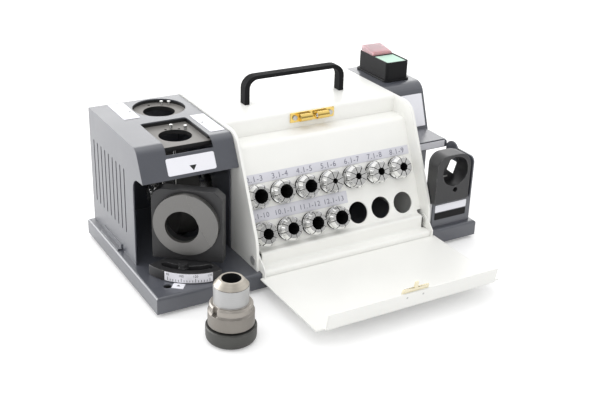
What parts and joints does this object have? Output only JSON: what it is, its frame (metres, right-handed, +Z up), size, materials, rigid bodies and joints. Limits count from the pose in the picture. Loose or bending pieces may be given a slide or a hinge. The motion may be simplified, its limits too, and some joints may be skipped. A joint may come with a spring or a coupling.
{
  "type": "drill bit sharpener",
  "caption": "Bench drill bit sharpener with grinding ports, a swivel port, a collet rack behind a fold-down door, a motor cover with switch, and a collet chuck.",
  "frame": {"origin": "under the middle of the object's bounding box, on the table it stands on, with the door open", "axes": "+X to the right along the row of housings, +Y to the back, +Z up"},
  "size_m": [0.33, 0.2694, 0.1568],
  "materials": {
    "grey_paint": "satin",
    "white_paint": "semi-gloss",
    "rubber": "matte",
    "cast_dark": "machined and blackened",
    "ring_steel": "turned",
    "bright_steel": "bright",
    "zinc_plate": "plated",
    "label": "printed foil",
    "black_plastic": "satin",
    "brass": "plated",
    "green_button": "gloss",
    "red_button": "translucent gloss",
    "abrasive": "fine grit",
    "chuck_steel": "turned",
    "nut_black": "knurled and blackened",
    "windings": "laminated"
  },
  "bodies": {
    "machine": {"base_plate": "grey_paint", "rubber_feet": "rubber", "grinder_housing": "grey_paint", "grinder_bulkhead": "grey_paint", "round_port_plate": "zinc_plate", "square_port_plate": "zinc_plate", "port_pins": "bright_steel", "stop_post": "bright_steel", "grinder_labels": "label", "swivel_pivot_pin": "bright_steel", "pointer_plate": "label", "cabinet_shell": "white_paint", "collet_rack": "white_paint", "rack_labels": "label", "carry_handle": "black_plastic", "handle_screws": "zinc_plate", "door_pins": "zinc_plate", "catch_body": "brass", "catch_screws": "zinc_plate", "motor_cover": "grey_paint", "cover_labels": "label", "switch_box": "black_plastic", "shelf_box": "grey_paint", "setting_bracket": "grey_paint", "setting_block": "cast_dark", "setting_vee": "cast_dark", "setting_stop": "zinc_plate", "motor_housing": "grey_paint", "motor_stator": "windings", "motor_bearings": "zinc_plate", "motor_cradles": "grey_paint"},
    "door": {"door": "white_paint", "door_strike": "brass", "strike_screws": "zinc_plate"},
    "swivel": {"swivel_block": "cast_dark", "swivel_ring": "ring_steel", "swivel_arc_plate": "cast_dark", "swivel_scale": "label"},
    "rotor": {"rotor_shaft": "bright_steel", "rotor_core": "cast_dark", "grinding_wheel": "abrasive", "wheel_flanges": "bright_steel"},
    "start_button": {"start_button": "green_button"},
    "stop_button": {"stop_button": "red_button"},
    "catch_ball_left": {"catch_balls_left": "bright_steel"},
    "catch_ball_right": {"catch_balls_right": "bright_steel"},
    "clamp_screw": {"swivel_clamp_screw": "bright_steel"},
    "chuck": {"chuck_body": "chuck_steel"},
    "chuck_nut": {"chuck_nut": "nut_black"},
    "collet_01": {"collet_01": "bright_steel"},
    "collet_02": {"collet_02": "bright_steel"},
    "collet_03": {"collet_03": "bright_steel"},
    "collet_04": {"collet_04": "bright_steel"},
    "collet_05": {"collet_05": "bright_steel"},
    "collet_06": {"collet_06": "bright_steel"},
    "collet_07": {"collet_07": "bright_steel"},
    "collet_08": {"collet_08": "bright_steel"},
    "collet_09": {"collet_09": "bright_steel"},
    "collet_10": {"collet_10": "bright_steel"},
    "collet_11": {"collet_11": "bright_steel"}
  },
  "joints": [
    {"name": "door_hinge", "type": "hinge", "parent": "machine", "child": "door", "pos_m": [0, -0.02229, 0.0261], "axis": [-1, 0, 0], "range_deg": [0, 115]},
    {"name": "swivel_turn", "type": "hinge", "parent": "machine", "child": "swivel", "pos_m": [-0.1085, 0.02021, 0.06], "axis": [0, 0, 1], "range_deg": [-20, 20]},
    {"name": "clamp_turn", "type": "hinge", "parent": "machine", "child": "clamp_screw", "pos_m": [-0.13097, -0.0095, 0.025], "axis": [0, 0, 1], "range_deg": [0, 180]},
    {"name": "rotor_spin", "type": "hinge", "parent": "machine", "child": "rotor", "pos_m": [0, 0.06971, 0.0618], "axis": [1, 0, 0], "continuous": true},
    {"name": "start_press", "type": "slide", "parent": "machine", "child": "start_button", "axis": [0, 0, -1], "range_m": [0, 0.0015], "stiffness_N_per_m": 250, "springref_m": -0.002},
    {"name": "stop_press", "type": "slide", "parent": "machine", "child": "stop_button", "axis": [0, 0, -1], "range_m": [0, 0.0015], "stiffness_N_per_m": 250, "springref_m": -0.002},
    {"name": "ball_left", "type": "slide", "parent": "machine", "child": "catch_ball_left", "axis": [-1, 0, 0], "range_m": [0, 0.0012], "stiffness_N_per_m": 400, "springref_m": -0.001},
    {"name": "ball_right", "type": "slide", "parent": "machine", "child": "catch_ball_right", "axis": [1, 0, 0], "range_m": [0, 0.0012], "stiffness_N_per_m": 400, "springref_m": -0.001},
    {"name": "collet_01_draw", "type": "slide", "parent": "machine", "child": "collet_01", "axis": [0, 0.9059, -0.4236], "range_m": [-0.045, 0]},
    {"name": "collet_02_draw", "type": "slide", "parent": "machine", "child": "collet_02", "axis": [0, 0.9059, -0.4236], "range_m": [-0.045, 0]},
    {"name": "collet_03_draw", "type": "slide", "parent": "machine", "child": "collet_03", "axis": [0, 0.9059, -0.4236], "range_m": [-0.045, 0]},
    {"name": "collet_04_draw", "type": "slide", "parent": "machine", "child": "collet_04", "axis": [0, 0.9059, -0.4236], "range_m": [-0.045, 0]},
    {"name": "collet_05_draw", "type": "slide", "parent": "machine", "child": "collet_05", "axis": [0, 0.9059, -0.4236], "range_m": [-0.045, 0]},
    {"name": "collet_06_draw", "type": "slide", "parent": "machine", "child": "collet_06", "axis": [0, 0.9059, -0.4236], "range_m": [-0.045, 0]},
    {"name": "collet_07_draw", "type": "slide", "parent": "machine", "child": "collet_07", "axis": [0, 0.9059, -0.4236], "range_m": [-0.045, 0]},
    {"name": "collet_08_draw", "type": "slide", "parent": "machine", "child": "collet_08", "axis": [0, 0.9059, -0.4236], "range_m": [-0.045, 0]},
    {"name": "collet_09_draw", "type": "slide", "parent": "machine", "child": "collet_09", "axis": [0, 0.9059, -0.4236], "range_m": [-0.045, 0]},
    {"name": "collet_10_draw", "type": "slide", "parent": "machine", "child": "collet_10", "axis": [0, 0.9059, -0.4236], "range_m": [-0.045, 0]},
    {"name": "collet_11_draw", "type": "slide", "parent": "machine", "child": "collet_11", "axis": [0, 0.9059, -0.4236], "range_m": [-0.045, 0]},
    {"name": "chuck_lift", "type": "slide", "parent": "machine", "child": "chuck", "axis": [0, 0, 1], "range_m": [0, 0.06]},
    {"name": "nut_turn", "type": "hinge", "parent": "chuck", "child": "chuck_nut", "pos_m": [-0.1243, -0.08639, 0.007], "axis": [0, 0, 1], "range_deg": [0, 180]}
  ]
}
